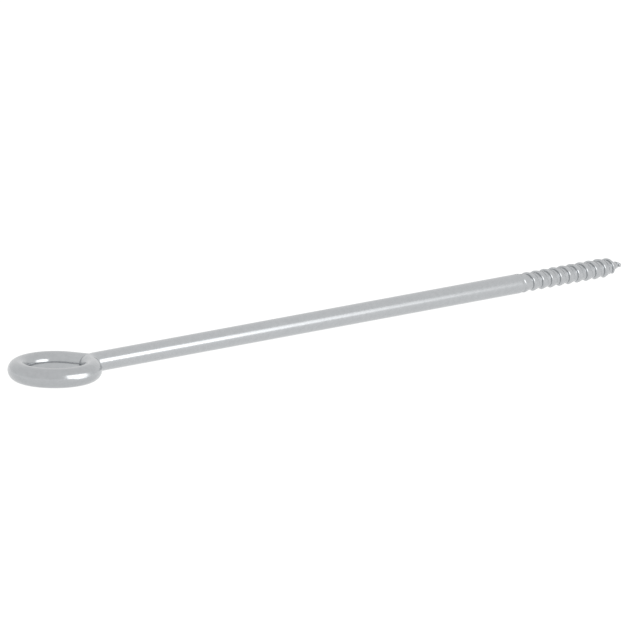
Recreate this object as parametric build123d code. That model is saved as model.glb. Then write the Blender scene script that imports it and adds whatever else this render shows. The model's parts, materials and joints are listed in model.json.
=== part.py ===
from build123d import *
from math import atan2, cos, degrees, pi, radians, sin, sqrt
import os

# Screw eye: one length of round steel rod. One end is bent into a closed eye, and the
# other end is rolled with a coarse right-hand wood thread that runs out on a point.
# Millimetres. The origin is the eye's centre, on the rod's centre line. The shank runs
# along +X, and the eye lies flat in the XY plane, so the piece rests on its side.

# Rod and overall size
overall_length = 390.0  # from the outside of the eye to the tip
rod_diameter = 10.0  # of the eye and the plain shank

# Eye
eye_inside_diameter = 27.6
neck_inside_radius = 2.5
free_end_angle = 28.0  # round the eye, from which the free end runs straight to the neck
end_short_by = 0.4  # distance of its middle from the neck's centre line
end_chamfer = 0.6

# Thread
threaded_length = 68.2  # from the end of the plain shank to the tip
thread_pitch = 5.8
thread_depth = 0.95  # from crest to root
thread_clearance = 0.1  # by which the crests are smaller across than the shank
run_out_length = 6.8  # over which the shank tapers down to the thread's root
ridge_root_width = 2.5
ridge_crest_width = 1.1
crest_chamfer = 0.25
ridge_seat = 0.5  # depth by which the ridge is set into the root
hidden_turns = 0.8  # of the ridge, inside the end of the plain shank

# Point
point_length = 12.6
shoulder_length = 3.6  # of the gentle first taper of the point
shoulder_drop = 0.55  # in radius over that taper
tip_diameter = 0.8
tip_ridge_share = 0.4  # the ridge's size where it ends, as a share of its full size
bare_tip_length = 0.8  # from the end of the ridge to the tip
ridge_lap = 0.5  # by which the point's ridge starts inside the parallel ridge
lap_share = 0.98  # its size in there, as a share of the full size
sections_a_turn = 12
seam_angles = (45, 135, 70, 90, 0, 180)  # of the core's faces about the shank

# Sizes that follow from these
rod_radius = rod_diameter / 2
eye_radius = eye_inside_diameter / 2 + rod_radius
neck_radius = neck_inside_radius + rod_radius
neck_start_x = sqrt((eye_radius + neck_radius) ** 2 - neck_radius**2)
neck_angle = degrees(atan2(neck_radius, neck_start_x))
end_cos = cos(radians(free_end_angle))
end_sin = sin(radians(free_end_angle))
end_offset = neck_start_x * end_cos - neck_radius * end_sin - eye_radius
end_crossing = neck_start_x * end_sin + neck_radius * end_cos - sqrt(neck_radius**2 - end_offset**2)
end_run_length = end_crossing - end_short_by
crest_radius = rod_radius - thread_clearance / 2
root_radius = crest_radius - thread_depth
shoulder_radius = root_radius - shoulder_drop
tip_radius = tip_diameter / 2
tip_x = overall_length - eye_radius - rod_radius
thread_start_x = tip_x - threaded_length
run_out_end_x = thread_start_x + run_out_length
ridge_start_x = thread_start_x - hidden_turns * thread_pitch
ridge_end_x = tip_x - bare_tip_length
point_start_x = tip_x - point_length
shoulder_end_x = point_start_x + shoulder_length


def rod_along(path):
    """Round rod bent along a path."""
    return sweep(Plane(origin=path @ 0, z_dir=path % 0) * Circle(rod_radius), path=path)


def free_end():
    """Last half of the eye, whose straight and chamfered end closes on the neck."""
    back_line = CenterArc((0, 0), eye_radius, 180, free_end_angle - 180)
    end_run = Line(back_line @ 1, back_line @ 1 + (back_line % 1) * end_run_length)
    half_eye = rod_along(back_line + end_run)
    end_face = half_eye.faces().sort_by_distance(end_run @ 1)[0]
    return chamfer(end_face.edges(), end_chamfer)


def eye_and_shank():
    """Plain shank, neck and eye, which the free end closes."""
    shank_line = Line((thread_start_x, 0), (neck_start_x, 0))
    neck_line = CenterArc((neck_start_x, -neck_radius), neck_radius, 90, 90 - neck_angle)
    front_line = CenterArc((0, 0), eye_radius, -neck_angle, neck_angle - 180)
    return rod_along(shank_line + neck_line + front_line) + free_end()


def turned_length(start, end):
    """Round length of the core from one pair of station and radius to the next."""
    length = end[0] - start[0]
    if start[1] == end[1]:
        blank = Cylinder(start[1], length)
    else:
        blank = Cone(start[1], end[1], length)
    return Pos((start[0] + end[0]) / 2, 0, 0) * Rot(0, 90, 0) * blank


def parallel_core(seam_angle):
    """Root of the thread up to the point: a taper down from the shank, then a cylinder."""
    shank_end = (thread_start_x, rod_radius)
    root_start = (run_out_end_x, root_radius)
    root_end = (point_start_x, root_radius)
    core = turned_length(shank_end, root_start) + turned_length(root_start, root_end)
    return Rot(seam_angle, 0, 0) * core


def point_core(seam_angle):
    """Root of the thread on the point: a gentle taper, then a steeper one to the tip."""
    root_end = (point_start_x, root_radius)
    shoulder_end = (shoulder_end_x, shoulder_radius)
    tip = (tip_x, tip_radius)
    core = turned_length(root_end, shoulder_end) + turned_length(shoulder_end, tip)
    return Rot(seam_angle, 0, 0) * core


def between(x, start, end):
    """Share of the way from one pair of station and value to the next, as a value."""
    share = (x - start[0]) / (end[0] - start[0])
    return start[1] + share * (end[1] - start[1])


def root_radius_at(x):
    """Radius of the thread's root at a station along the shank."""
    if x < point_start_x:
        return root_radius
    if x < shoulder_end_x:
        return between(x, (point_start_x, root_radius), (shoulder_end_x, shoulder_radius))
    return between(x, (shoulder_end_x, shoulder_radius), (tip_x, tip_radius))


def ridge_section(x, size):
    """Section of the thread's ridge across its right-hand helix, with a chamfered crest."""
    turn = 2 * pi * (x - ridge_start_x) / thread_pitch
    radius = root_radius_at(x)
    outward = Vector(0, -sin(turn), cos(turn))
    sideways = Vector(0, -cos(turn), -sin(turn))
    onward = sideways * (2 * pi * radius) + Vector(thread_pitch, 0, 0)
    crest = size * thread_depth
    flank_top = size * (thread_depth - crest_chamfer)
    seat = size * ridge_seat
    half_flat = size * (ridge_crest_width / 2 - crest_chamfer)
    half_crest = size * ridge_crest_width / 2
    half_root = size * ridge_root_width / 2
    half_foot = half_root + (half_root - half_crest) * seat / flank_top
    outline = Polyline(
        (crest, half_flat),
        (flank_top, half_crest),
        (-seat, half_foot),
        (-seat, -half_foot),
        (flank_top, -half_crest),
        (crest, -half_flat),
        close=True,
    )
    at = outward * radius + Vector(x, 0, 0)
    return Plane(origin=at, x_dir=outward, z_dir=onward) * make_face(outline)


def parallel_ridge():
    """Ridge on the parallel part of the thread, from inside the end of the shank."""
    length = point_start_x - ridge_start_x
    helix = Helix(thread_pitch, length, root_radius, (ridge_start_x, 0, 0), (1, 0, 0))
    return sweep(ridge_section(ridge_start_x, 1), path=helix, is_frenet=True)


def point_ridge():
    """Ridge on the point, which shrinks towards the tip."""
    start_x = point_start_x - ridge_lap
    steps = round(sections_a_turn * (ridge_end_x - start_x) / thread_pitch)
    stations = [between(step, (0, start_x), (steps, ridge_end_x)) for step in range(steps + 1)]
    full = (point_start_x, lap_share)
    last = (ridge_end_x, tip_ridge_share)
    return loft([ridge_section(x, min(lap_share, between(x, full, last))) for x in stations])


def keeps_ridge(whole, blank, ridge):
    """Whether the ridge stands out of the whole, and hasn't been dropped by its union."""
    return len(whole.solids()) == 1 and whole.volume - blank.volume > ridge.volume / 4


def rolled(body, core_at, ridge):
    """A body with a length of core and its ridge, at the first seams that keep the ridge."""
    for seam_angle in seam_angles:
        core = core_at(seam_angle)
        blank = body + core
        for whole in (body + ridge + core, blank + ridge):
            if keeps_ridge(whole, blank, ridge):
                return whole
    raise ValueError("no seam angle keeps the ridge")


threaded_shank = rolled(eye_and_shank(), parallel_core, parallel_ridge())
screw_eye = rolled(threaded_shank, point_core, point_ridge())

os.makedirs("parts", exist_ok=True)
export_step(screw_eye, "parts/screw_eye.step")
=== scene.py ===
"""Screw eye: the finished surface of the rod, its studio and its camera.

Metres, in the frame of the CAD part: the origin is the eye's centre on the rod's centre
line, the shank runs along +X, and the eye lies flat in the XY plane.
"""

import json
import math

import bpy
import numpy as np
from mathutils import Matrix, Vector

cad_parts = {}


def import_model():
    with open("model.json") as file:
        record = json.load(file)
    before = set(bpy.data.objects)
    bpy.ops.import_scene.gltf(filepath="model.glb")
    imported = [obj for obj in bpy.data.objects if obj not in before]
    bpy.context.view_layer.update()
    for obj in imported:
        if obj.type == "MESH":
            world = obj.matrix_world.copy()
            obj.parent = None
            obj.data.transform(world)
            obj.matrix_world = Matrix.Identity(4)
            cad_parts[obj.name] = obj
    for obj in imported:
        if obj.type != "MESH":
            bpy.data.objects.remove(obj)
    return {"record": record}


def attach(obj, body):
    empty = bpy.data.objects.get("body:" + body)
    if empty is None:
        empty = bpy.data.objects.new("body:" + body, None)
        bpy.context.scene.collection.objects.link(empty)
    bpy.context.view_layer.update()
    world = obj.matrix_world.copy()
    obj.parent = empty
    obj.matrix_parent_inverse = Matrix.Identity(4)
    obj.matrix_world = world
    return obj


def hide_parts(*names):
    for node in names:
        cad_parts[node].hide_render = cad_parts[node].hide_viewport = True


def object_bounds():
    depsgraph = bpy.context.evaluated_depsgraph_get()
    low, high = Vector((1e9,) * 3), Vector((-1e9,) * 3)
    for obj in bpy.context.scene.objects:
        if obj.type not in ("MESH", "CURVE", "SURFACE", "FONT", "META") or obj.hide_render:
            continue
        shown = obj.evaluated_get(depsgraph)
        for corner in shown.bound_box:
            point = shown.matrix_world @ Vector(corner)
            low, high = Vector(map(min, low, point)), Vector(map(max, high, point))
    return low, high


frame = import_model()
cad_low, cad_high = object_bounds()
record = frame["record"]

MM = 0.001

# Places given by the CAD part
mounts = {m["name"]: m for m in record["mounts"]}
ROD_RADIUS = mounts["shank"]["dims"]["r_mm"] * MM
THREAD_START = mounts["thread"]["pos_m"][0]
TIP = cad_high.x
EYE_RADIUS = -cad_low.x - ROD_RADIUS
FLOOR_Z = cad_low.z

# Neck, whose centre line starts on the shank's axis and meets the eye's circle
NECK_RADIUS = 7.5 * MM
NECK_START = math.sqrt((EYE_RADIUS + NECK_RADIUS) ** 2 - NECK_RADIUS**2)
NECK_ANGLE = math.atan2(NECK_RADIUS, NECK_START)

# Free end, which leaves the circle at an angle before the shank's axis
FREE_END_ANGLE = math.radians(28)
FREE_END_SHORT_BY = 0.4 * MM
END_CHAMFER = 0.6 * MM

# Thread
PITCH = 5.8 * MM
CREST_RADIUS = 5.0 * MM
ROOT_RADIUS = 4.13 * MM
RUN_OUT = 6.8 * MM
HIDDEN_TURNS = 0.8
RIDGE_START = THREAD_START - HIDDEN_TURNS * PITCH

# Ridge. It rises on the eye's side from a foot before the helix's line, in a rounded head,
# and falls slowly towards the tip.
HEAD_FOOT = 0.82 * MM
HEAD_ROUND = 0.65 * MM
HEAD_POWER = 2.4
TIP_FLANK = 3.3 * MM
TIP_POWER = 1.25
ROOT_ROUND = 0.04 * MM
LEAST_RIDGE = 1e-3

# Point, as distances from the tip in mm, with the root's radius in mm and the ridge's share
POINT_CORE = [(12.6, 4.13), (8.0, 3.6), (5.4, 2.3), (2.5, 1.2), (0.0, 0.6)]
POINT_RIDGE = [
    (12.6, 1.0),
    (10.0, 0.92),
    (6.8, 0.94),
    (5.0, 0.4),
    (3.0, 0.5),
    (1.8, 0.85),
    (0.8, 0.5),
    (0.3, 0.0),
]
POINT_LENGTH = POINT_CORE[0][0] * MM
TIP_RADIUS = 0.6 * MM
CORE_BLUR = 0.5 * MM

# Mesh
SIDES = 96
STEPS_A_TURN = 40
CAP_RINGS = 5
PAST_THREAD = 1.2 * MM
SHANK_STATIONS = 60
NECK_STATIONS = 25
EYE_STATIONS = 150
END_STATIONS = 12
SHARP_DEGREES = 40

# Zinc plate
MOTTLE_SCALE = 420
MOTTLE_DETAIL = 4
DARK_ZINC = (0.3, (0.446, 0.459, 0.471, 1))
PALE_ZINC = (0.7, (0.476, 0.489, 0.501, 1))
# Painted shade: the base colour is scaled darker in the eye than on the shank, between these X
PAINTED_SHADE_FROM_X = (6 * MM, 20 * MM)
PAINTED_EYE_SHADE = (0.94, 1.01)
ROUGHNESS = (0.18, 0.26)

# Studio
WORLD_STRENGTH = 1.0
FLOOR_SIZE = 30
FLOOR_BASE = 0.02
FLOOR_EMISSION = 1.01
KEY_CENTRE = (0.23, 0.19)
SIDE_CENTRE = (0.61, 0.19)
BOX_Y = -0.56
LOW_CENTRE = (0.018, -0.08)
LOW_LIFT = 0.5 * MM
FILM_WIDTH = 36


def smooth_min(a, b, width):
    """The lower of two heights, rounded where they cross."""
    near = np.clip(0.5 + 0.5 * (b - a) / width, 0, 1)
    return b + (a - b) * near - width * near * (1 - near)


def smooth_max(a, b, width):
    """The higher of two heights, filleted where they cross."""
    return -smooth_min(-a, -b, width)


def core_radius(x):
    """Root of the thread along the shank, without the ridge."""
    stations = [THREAD_START, THREAD_START + RUN_OUT] + [TIP - s * MM for s, _ in POINT_CORE]
    radii = [ROD_RADIUS, ROOT_RADIUS] + [r * MM for _, r in POINT_CORE]
    return sum(np.interp(x + k * CORE_BLUR, stations, radii) for k in (-1, -0.5, 0, 0.5, 1)) / 5


def ridge_size(x):
    """Size of the ridge along the shank, as a share of its full size."""
    stations = [TIP - s * MM for s, _ in POINT_RIDGE]
    return np.interp(x, stations, [share for _, share in POINT_RIDGE])


def ridge_share(behind):
    """Height of the ridge, as a share, at distances behind its foot on the eye's side."""
    from_foot = np.clip(behind / HEAD_ROUND, 0, 1)
    past_crest = np.clip((behind - HEAD_ROUND) / TIP_FLANK, 0, 1)
    head = (1 - (1 - from_foot) ** HEAD_POWER) ** (1 / HEAD_POWER)
    return head * (1 - past_crest**TIP_POWER)


def threaded_radius(x, along):
    """Radius of the surface at a station, at shares of the pitch from the helix's line."""
    core = core_radius(x)
    root = core if x > TIP - POINT_LENGTH else ROOT_RADIUS
    size = max(ridge_size(x), LEAST_RIDGE)
    behind = np.mod(along + size * HEAD_FOOT / PITCH, 1) * PITCH / size
    height = size * (CREST_RADIUS - ROOT_RADIUS) * ridge_share(behind)
    return np.minimum(smooth_max(core, root + height, ROOT_ROUND * size), ROD_RADIUS)


def threaded_rings():
    """Rings of points from the tip up the thread, and the angle of each point in the last.

    Each ring is turned so that the mesh's lines follow the crest.
    """
    step = PITCH / STEPS_A_TURN
    cap_base = TIP - TIP_RADIUS
    count = math.ceil((cap_base - THREAD_START + PAST_THREAD) / step)
    along = 0.5 - np.arange(SIDES) / SIDES
    rings = []
    for k in range(CAP_RINGS - 1, -count - 1, -1):
        if k > 0:
            bend = k * math.pi / (2 * CAP_RINGS)
            x = cap_base + TIP_RADIUS * math.sin(bend)
            radius = np.full(SIDES, TIP_RADIUS * math.cos(bend))
        else:
            x = cap_base + k * step
            radius = threaded_radius(x, along)
        turns = 2 * math.pi * ((x - RIDGE_START) / PITCH - along)
        y, z = -np.sin(turns) * radius, np.cos(turns) * radius
        rings.append(np.stack([np.full(SIDES, x), y, z], 1))
    return rings, turns


def free_end_run():
    """Length of the free end's straight run, which stops just short of the neck's line."""
    c, s = math.cos(FREE_END_ANGLE), math.sin(FREE_END_ANGLE)
    off = NECK_START * c - NECK_RADIUS * s - EYE_RADIUS
    foot = NECK_START * s + NECK_RADIUS * c
    return foot - math.sqrt(NECK_RADIUS**2 - off**2) - FREE_END_SHORT_BY


def stations_to_free_end(first_x):
    """Centre, direction and share of the rod's radius, from the thread to the free end."""
    stations = [((x, 0), (-1, 0), 1) for x in np.linspace(first_x, NECK_START, SHANK_STATIONS)[1:]]
    for a in np.linspace(math.radians(270), math.pi + NECK_ANGLE, NECK_STATIONS)[1:]:
        at = (NECK_START + NECK_RADIUS * math.cos(a), -NECK_RADIUS - NECK_RADIUS * math.sin(a))
        stations.append((at, (math.sin(a), math.cos(a)), 1))
    for a in np.linspace(NECK_ANGLE, 2 * math.pi - FREE_END_ANGLE, EYE_STATIONS)[1:]:
        at = (EYE_RADIUS * math.cos(a), -EYE_RADIUS * math.sin(a))
        stations.append((at, (-math.sin(a), -math.cos(a)), 1))
    start, (px, py), _ = stations[-1]
    run = free_end_run()
    for s in list(np.linspace(0, run - END_CHAMFER, END_STATIONS)[1:]) + [run]:
        share = min(1, 1 - (s - run + END_CHAMFER) / ROD_RADIUS)
        stations.append(((start[0] + px * s, start[1] + py * s), (px, py), share))
    return stations


def plain_rings(first_x, turns):
    """Rings along the shank, the neck and the eye, round to its free end."""
    rings = []
    for (x, y), (px, py), share in stations_to_free_end(first_x):
        across = np.outer(np.sin(turns), (-py, px, 0)) + np.outer(np.cos(turns), (0, 0, 1))
        rings.append(np.array([x, y, 0]) + ROD_RADIUS * share * across)
    return rings


def tube(name, rings, first, last):
    """Closed tube through rings, with a point at its first end and its last."""
    count = len(rings)
    points = np.vstack([[first], *rings, [last]])
    faces = [(0, 1 + j, 1 + (j + 1) % SIDES) for j in range(SIDES)]
    for i in range(count - 1):
        a, b = 1 + i * SIDES, 1 + (i + 1) * SIDES
        for j in range(SIDES):
            k = (j + 1) % SIDES
            faces.append((a + j, b + j, b + k, a + k))
    a, end = 1 + (count - 1) * SIDES, len(points) - 1
    faces += [(a + (j + 1) % SIDES, a + j, end) for j in range(SIDES)]
    mesh = bpy.data.meshes.new(name)
    mesh.from_pydata(points.tolist(), [], faces)
    mesh.validate()
    piece = bpy.data.objects.new(name, mesh)
    bpy.context.scene.collection.objects.link(piece)
    return piece


def join_free_end(piece):
    """Joins the free end to the neck, by a union of the piece with itself.

    The modifier also needs a second object, so it gets a small cube inside the shank, which
    leaves no trace.
    """
    bpy.ops.mesh.primitive_cube_add(size=1 * MM, location=(NECK_START + 30 * MM, 0, 0))
    inside = bpy.context.object
    union = piece.modifiers.new("union", "BOOLEAN")
    union.operation = "UNION"
    union.solver = "EXACT"
    union.use_self = True
    union.object = inside
    bpy.context.view_layer.update()
    evaluated = piece.evaluated_get(bpy.context.evaluated_depsgraph_get())
    mesh = bpy.data.meshes.new_from_object(evaluated)
    piece.modifiers.clear()
    piece.data = mesh
    bpy.data.objects.remove(inside)


def smooth(piece, sharp_degrees):
    """Smooth shading, apart from edges sharper than an angle."""
    mesh = piece.data
    mesh.polygons.foreach_set("use_smooth", [True] * len(mesh.polygons))
    mesh.set_sharp_from_angle(angle=math.radians(sharp_degrees))


def build_rod():
    """The whole rod as one closed mesh."""
    rings, turns = threaded_rings()
    rings += plain_rings(rings[-1][0][0], turns)
    rod = tube("screw_eye_rod", rings, (TIP, 0, 0), rings[-1].mean(0))
    join_free_end(rod)
    smooth(rod, SHARP_DEGREES)
    return rod


def map_range(nodes, **limits):
    """Node that carries one range of values into another."""
    node = nodes.new("ShaderNodeMapRange")
    for socket, value in limits.items():
        node.inputs[socket.replace("_", " ").title()].default_value = value
    return node


def zinc_material():
    """Bright zinc plate: soft grey metal, faintly mottled, with painted shade that darkens the
    eye.
    """
    material = bpy.data.materials.new("zinc_plate")
    material.use_nodes = True
    nodes, links = material.node_tree.nodes, material.node_tree.links
    shader = nodes["Principled BSDF"]
    shader.inputs["Metallic"].default_value = 1.0

    place = nodes.new("ShaderNodeTexCoord")
    mottle = nodes.new("ShaderNodeTexNoise")
    mottle.inputs["Scale"].default_value = MOTTLE_SCALE
    mottle.inputs["Detail"].default_value = MOTTLE_DETAIL
    links.new(place.outputs["Object"], mottle.inputs["Vector"])

    tint = nodes.new("ShaderNodeValToRGB")
    for stop, (position, colour) in zip(tint.color_ramp.elements, (DARK_ZINC, PALE_ZINC)):
        stop.position = position
        stop.color = colour
    links.new(mottle.outputs["Fac"], tint.inputs["Fac"])

    parts = nodes.new("ShaderNodeSeparateXYZ")
    links.new(place.outputs["Object"], parts.inputs["Vector"])
    # Painted shade: scales the mottled base colour darker towards the eye
    painted_shade = map_range(
        nodes,
        from_min=PAINTED_SHADE_FROM_X[0],
        from_max=PAINTED_SHADE_FROM_X[1],
        to_min=PAINTED_EYE_SHADE[0],
        to_max=PAINTED_EYE_SHADE[1],
    )
    links.new(parts.outputs["X"], painted_shade.inputs["Value"])
    painted_shade_tint = nodes.new("ShaderNodeVectorMath")
    painted_shade_tint.operation = "SCALE"
    links.new(tint.outputs["Color"], painted_shade_tint.inputs["Vector"])
    links.new(painted_shade.outputs["Result"], painted_shade_tint.inputs["Scale"])
    links.new(painted_shade_tint.outputs["Vector"], shader.inputs["Base Color"])

    gloss = map_range(nodes, to_min=ROUGHNESS[0], to_max=ROUGHNESS[1])
    links.new(mottle.outputs["Fac"], gloss.inputs["Value"])
    links.new(gloss.outputs["Result"], shader.inputs["Roughness"])
    return material


def camera(azimuth, elevation, right, above, distance, width):
    """Long-lens camera that looks at a point right of and above the eye's centre."""
    a, e = math.radians(azimuth), math.radians(elevation)
    onward = Vector((math.sin(a) * math.cos(e), math.cos(a) * math.cos(e), -math.sin(e)))
    rightward = Vector((math.cos(a), -math.sin(a), 0))
    upward = rightward.cross(onward)
    data = bpy.data.cameras.new("camera")
    data.sensor_width = FILM_WIDTH
    data.lens = FILM_WIDTH * distance / width
    data.clip_start, data.clip_end = 0.1, 3 * distance
    seen = bpy.data.objects.new("camera", data)
    seen.location = right * rightward + above * upward - distance * onward
    seen.rotation_mode = "QUATERNION"
    seen.rotation_quaternion = onward.to_track_quat("-Z", "Y")
    bpy.context.scene.collection.objects.link(seen)
    bpy.context.scene.camera = seen


def softbox(name, at, aim, width, height, radiance):
    """Rectangular soft light."""
    data = bpy.data.lights.new(name, "AREA")
    data.shape = "RECTANGLE"
    data.size, data.size_y = width, height
    data.energy = radiance * math.pi * width * height
    light = bpy.data.objects.new(name, data)
    light.location = at
    light.rotation_mode = "QUATERNION"
    light.rotation_quaternion = (Vector(aim) - Vector(at)).to_track_quat("-Z", "Y")
    bpy.context.scene.collection.objects.link(light)


def upright_softbox(name, centre, width, height, radiance):
    """Softbox on the -Y side that faces the shank, centred at an X and a Z."""
    x, z = centre
    softbox(name, (x, BOX_Y, z), (x, 0, z), width, height, radiance)


def floor_softbox(name, centre, width, height, radiance):
    """Softbox that lies on the floor and faces up, centred at an X and a Y."""
    softbox(name, (*centre, FLOOR_Z + LOW_LIFT), (*centre, 1), width, height, radiance)


def world(strength):
    """Even white surroundings."""
    made = bpy.data.worlds.new("studio")
    made.use_nodes = True
    back = made.node_tree.nodes["Background"]
    back.inputs["Color"].default_value = (1, 1, 1, 1)
    back.inputs["Strength"].default_value = strength
    bpy.context.scene.world = made


def floor():
    """Plain floor under the piece, kept pure white by its own light."""
    bpy.ops.mesh.primitive_plane_add(size=FLOOR_SIZE, location=(0, 0, FLOOR_Z))
    plane = bpy.context.object
    plane.name = "studio_floor"
    material = bpy.data.materials.new("white_floor")
    material.use_nodes = True
    shader = material.node_tree.nodes["Principled BSDF"]
    shader.inputs["Base Color"].default_value = (FLOOR_BASE, FLOOR_BASE, FLOOR_BASE, 1)
    shader.inputs["Roughness"].default_value = 1.0
    shader.inputs["Emission Color"].default_value = (1, 1, 1, 1)
    shader.inputs["Emission Strength"].default_value = FLOOR_EMISSION
    plane.data.materials.append(material)


rod = build_rod()
rod.data.materials.clear()
rod.data.materials.append(zinc_material())
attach(rod, "root")
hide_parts("screw_eye")

floor()
world(WORLD_STRENGTH)
upright_softbox("key", KEY_CENTRE, width=0.60, height=0.38, radiance=2.2)
upright_softbox("side", SIDE_CENTRE, width=0.16, height=0.38, radiance=0.8)
floor_softbox("low", LOW_CENTRE, width=0.026, height=0.07, radiance=2.2)
camera(
    azimuth=38.6207,
    elevation=13.4198,
    right=0.129835,
    above=0.02782,
    distance=14.0,
    width=0.314719,
)
bpy.context.scene.view_settings.view_transform = "Standard"
